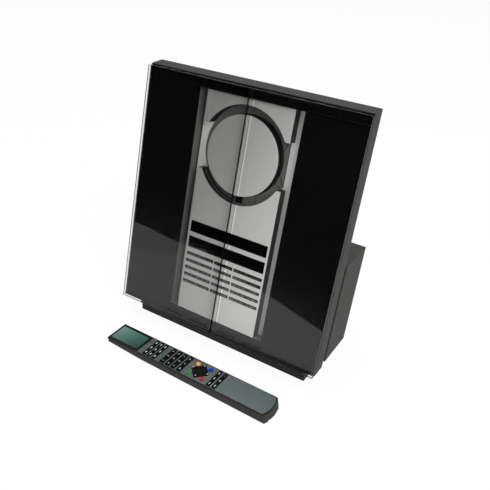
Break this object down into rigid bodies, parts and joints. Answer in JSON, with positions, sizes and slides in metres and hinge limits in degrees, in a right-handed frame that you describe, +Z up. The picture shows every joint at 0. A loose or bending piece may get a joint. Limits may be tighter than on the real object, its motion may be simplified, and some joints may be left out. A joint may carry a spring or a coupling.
{
  "type": "cd stereo system",
  "caption": "Upright disc player leaning on a wedge base, with two sliding glass doors over a brushed aluminium panel, a round disc lid, bar keys and a long remote control",
  "frame": {"origin": "Middle of the rectangle that the player and its remote control cover, on the table surface", "axes": "+X to the right seen from the front, +Y away from the viewer, +Z up"},
  "size_m": [0.323, 0.246, 0.3655],
  "materials": {
    "black_plastic": "fine satin",
    "dark_paint": "fine textured satin paint",
    "rubber": "matt",
    "aluminium": "fine brushed, anodised",
    "glass": "clear, polished edges",
    "smoked_window": "polished",
    "key_plastic": "satin gloss",
    "steel": "plain bright steel",
    "sink_aluminium": "extruded",
    "board": "solder resist",
    "socket_plastic": "plain",
    "sled_plastic": "plain",
    "remote_plastic": "satin",
    "remote_grey": "satin blue grey",
    "remote_screen": "green display behind a clear window",
    "key_rubber": "satin",
    "colour_rubber": "four colours",
    "cell_steel": "sleeved cell"
  },
  "bodies": {
    "player": {"base_frame": "black_plastic", "rubber_feet": "rubber", "rear_cover": "dark_paint", "rear_sockets": "socket_plastic", "mains_transformer": "steel", "main_board": "board", "heat_sink": "sink_aluminium", "body_shell": "dark_paint", "top_cap": "dark_paint", "fascia": "black_plastic", "channel_plate": "aluminium", "upper_carrier": "black_plastic", "upper_panel": "aluminium", "lower_carrier": "black_plastic", "lower_panel": "aluminium", "display_windows": "smoked_window", "control_board": "board", "disc_platform": "black_plastic", "drive_chassis": "steel", "suspension_bushes": "rubber", "spindle_motor": "steel", "guide_rods": "steel", "sled_motor": "steel", "door_motor": "steel"},
    "left_door": {"left_glass": "glass", "left_runners": "black_plastic"},
    "right_door": {"right_glass": "glass", "right_runners": "black_plastic"},
    "pinion": {"drive_pinion": "black_plastic"},
    "turntable_body": {"turntable": "black_plastic"},
    "lid": {"lid_face": "aluminium", "lid_body": "black_plastic"},
    "laser": {"laser_sled": "sled_plastic"},
    "screw": {"sled_screw": "steel"},
    "left_key_1_body": {"left_key_1": "key_plastic"},
    "middle_key_1_body": {"middle_key_1": "key_plastic"},
    "right_key_1_body": {"right_key_1": "key_plastic"},
    "left_key_2_body": {"left_key_2": "key_plastic"},
    "middle_key_2_body": {"middle_key_2": "key_plastic"},
    "right_key_2_body": {"right_key_2": "key_plastic"},
    "left_key_3_body": {"left_key_3": "key_plastic"},
    "middle_key_3_body": {"middle_key_3": "key_plastic"},
    "right_key_3_body": {"right_key_3": "key_plastic"},
    "left_key_4_body": {"left_key_4": "key_plastic"},
    "middle_key_4_body": {"middle_key_4": "key_plastic"},
    "right_key_4_body": {"right_key_4": "key_plastic"},
    "left_key_5_body": {"left_key_5": "key_plastic"},
    "middle_key_5_body": {"middle_key_5": "key_plastic"},
    "right_key_5_body": {"right_key_5": "key_plastic"},
    "remote": {"remote_case": "remote_plastic", "remote_plate": "remote_grey", "remote_display": "remote_screen", "remote_board": "board", "remote_batteries": "cell_steel"},
    "remote_upper_set": {"remote_upper_keys": "key_rubber"},
    "remote_lower_set": {"remote_lower_keys": "key_rubber"},
    "remote_base_set": {"remote_base_keys": "key_rubber"},
    "remote_pad_set": {"remote_pad": "key_rubber"},
    "remote_colour_set": {"remote_colour_keys": "colour_rubber"},
    "battery_door": {"remote_battery_door": "remote_plastic"}
  },
  "joints": [
    {"name": "left_door_slide", "type": "slide", "parent": "player", "child": "left_door", "axis": [-1, 0, 0], "range_m": [0, 0.077]},
    {"name": "right_door_slide", "type": "slide", "parent": "player", "child": "right_door", "axis": [1, 0, 0], "range_m": [0, 0.077]},
    {"name": "pinion_turn", "type": "hinge", "parent": "player", "child": "pinion", "pos_m": [0, 0.03606, 0.35652], "axis": [0, -0.9728, 0.2317], "range_deg": [0, 1177]},
    {"name": "turntable_spin", "type": "hinge", "parent": "player", "child": "turntable_body", "pos_m": [0, 0.02727, 0.27647], "axis": [0, -0.9728, 0.2317], "continuous": true},
    {"name": "lid_lift", "type": "slide", "parent": "turntable_body", "child": "lid", "axis": [0, -0.9728, 0.2317], "range_m": [0, 0.003]},
    {"name": "laser_slide", "type": "slide", "parent": "player", "child": "laser", "axis": [0, -0.2317, -0.9728], "range_m": [0, 0.033]},
    {"name": "screw_turn", "type": "hinge", "parent": "player", "child": "screw", "pos_m": [-0.0125, 0.02455, 0.25039], "axis": [0, -0.2317, -0.9728], "range_deg": [0, 3961]},
    {"name": "left_key_1_press", "type": "slide", "parent": "player", "child": "left_key_1_body", "axis": [0, 0.9728, -0.2317], "range_m": [0, 0.0008], "stiffness_N_per_m": 400, "springref_m": -0.0005},
    {"name": "middle_key_1_press", "type": "slide", "parent": "player", "child": "middle_key_1_body", "axis": [0, 0.9728, -0.2317], "range_m": [0, 0.0008], "stiffness_N_per_m": 400, "springref_m": -0.0005},
    {"name": "right_key_1_press", "type": "slide", "parent": "player", "child": "right_key_1_body", "axis": [0, 0.9728, -0.2317], "range_m": [0, 0.0008], "stiffness_N_per_m": 400, "springref_m": -0.0005},
    {"name": "left_key_2_press", "type": "slide", "parent": "player", "child": "left_key_2_body", "axis": [0, 0.9728, -0.2317], "range_m": [0, 0.0008], "stiffness_N_per_m": 400, "springref_m": -0.0005},
    {"name": "middle_key_2_press", "type": "slide", "parent": "player", "child": "middle_key_2_body", "axis": [0, 0.9728, -0.2317], "range_m": [0, 0.0008], "stiffness_N_per_m": 400, "springref_m": -0.0005},
    {"name": "right_key_2_press", "type": "slide", "parent": "player", "child": "right_key_2_body", "axis": [0, 0.9728, -0.2317], "range_m": [0, 0.0008], "stiffness_N_per_m": 400, "springref_m": -0.0005},
    {"name": "left_key_3_press", "type": "slide", "parent": "player", "child": "left_key_3_body", "axis": [0, 0.9728, -0.2317], "range_m": [0, 0.0008], "stiffness_N_per_m": 400, "springref_m": -0.0005},
    {"name": "middle_key_3_press", "type": "slide", "parent": "player", "child": "middle_key_3_body", "axis": [0, 0.9728, -0.2317], "range_m": [0, 0.0008], "stiffness_N_per_m": 400, "springref_m": -0.0005},
    {"name": "right_key_3_press", "type": "slide", "parent": "player", "child": "right_key_3_body", "axis": [0, 0.9728, -0.2317], "range_m": [0, 0.0008], "stiffness_N_per_m": 400, "springref_m": -0.0005},
    {"name": "left_key_4_press", "type": "slide", "parent": "player", "child": "left_key_4_body", "axis": [0, 0.9728, -0.2317], "range_m": [0, 0.0008], "stiffness_N_per_m": 400, "springref_m": -0.0005},
    {"name": "middle_key_4_press", "type": "slide", "parent": "player", "child": "middle_key_4_body", "axis": [0, 0.9728, -0.2317], "range_m": [0, 0.0008], "stiffness_N_per_m": 400, "springref_m": -0.0005},
    {"name": "right_key_4_press", "type": "slide", "parent": "player", "child": "right_key_4_body", "axis": [0, 0.9728, -0.2317], "range_m": [0, 0.0008], "stiffness_N_per_m": 400, "springref_m": -0.0005},
    {"name": "left_key_5_press", "type": "slide", "parent": "player", "child": "left_key_5_body", "axis": [0, 0.9728, -0.2317], "range_m": [0, 0.0008], "stiffness_N_per_m": 400, "springref_m": -0.0005},
    {"name": "middle_key_5_press", "type": "slide", "parent": "player", "child": "middle_key_5_body", "axis": [0, 0.9728, -0.2317], "range_m": [0, 0.0008], "stiffness_N_per_m": 400, "springref_m": -0.0005},
    {"name": "right_key_5_press", "type": "slide", "parent": "player", "child": "right_key_5_body", "axis": [0, 0.9728, -0.2317], "range_m": [0, 0.0008], "stiffness_N_per_m": 400, "springref_m": -0.0005},
    {"name": "remote_lift", "type": "slide", "parent": "player", "child": "remote", "axis": [0, 0, 1], "range_m": [0, 0.15]},
    {"name": "remote_upper_press", "type": "slide", "parent": "remote", "child": "remote_upper_set", "axis": [0.0152, -0.0003, -0.9999], "range_m": [0, 0.0005], "stiffness_N_per_m": 600, "springref_m": -0.0005},
    {"name": "remote_lower_press", "type": "slide", "parent": "remote", "child": "remote_lower_set", "axis": [0.0152, -0.0003, -0.9999], "range_m": [0, 0.0005], "stiffness_N_per_m": 600, "springref_m": -0.0005},
    {"name": "remote_base_press", "type": "slide", "parent": "remote", "child": "remote_base_set", "axis": [0.0152, -0.0003, -0.9999], "range_m": [0, 0.0005], "stiffness_N_per_m": 600, "springref_m": -0.0005},
    {"name": "remote_pad_press", "type": "slide", "parent": "remote", "child": "remote_pad_set", "axis": [0.0152, -0.0003, -0.9999], "range_m": [0, 0.0005], "stiffness_N_per_m": 600, "springref_m": -0.0005},
    {"name": "remote_colour_press", "type": "slide", "parent": "remote", "child": "remote_colour_set", "axis": [0.0152, -0.0003, -0.9999], "range_m": [0, 0.0005], "stiffness_N_per_m": 600, "springref_m": -0.0005},
    {"name": "battery_door_slide", "type": "slide", "parent": "remote", "child": "battery_door", "axis": [0.9998, -0.0206, 0], "range_m": [0, 0.03]}
  ],
  "couplings": [
    {"joint": "right_door_slide", "follows": "left_door_slide", "ratio": 1},
    {"joint": "pinion_turn", "follows": "left_door_slide", "rad_per_m": 266.67},
    {"joint": "screw_turn", "follows": "laser_slide", "rad_per_m": 2094.4}
  ]
}
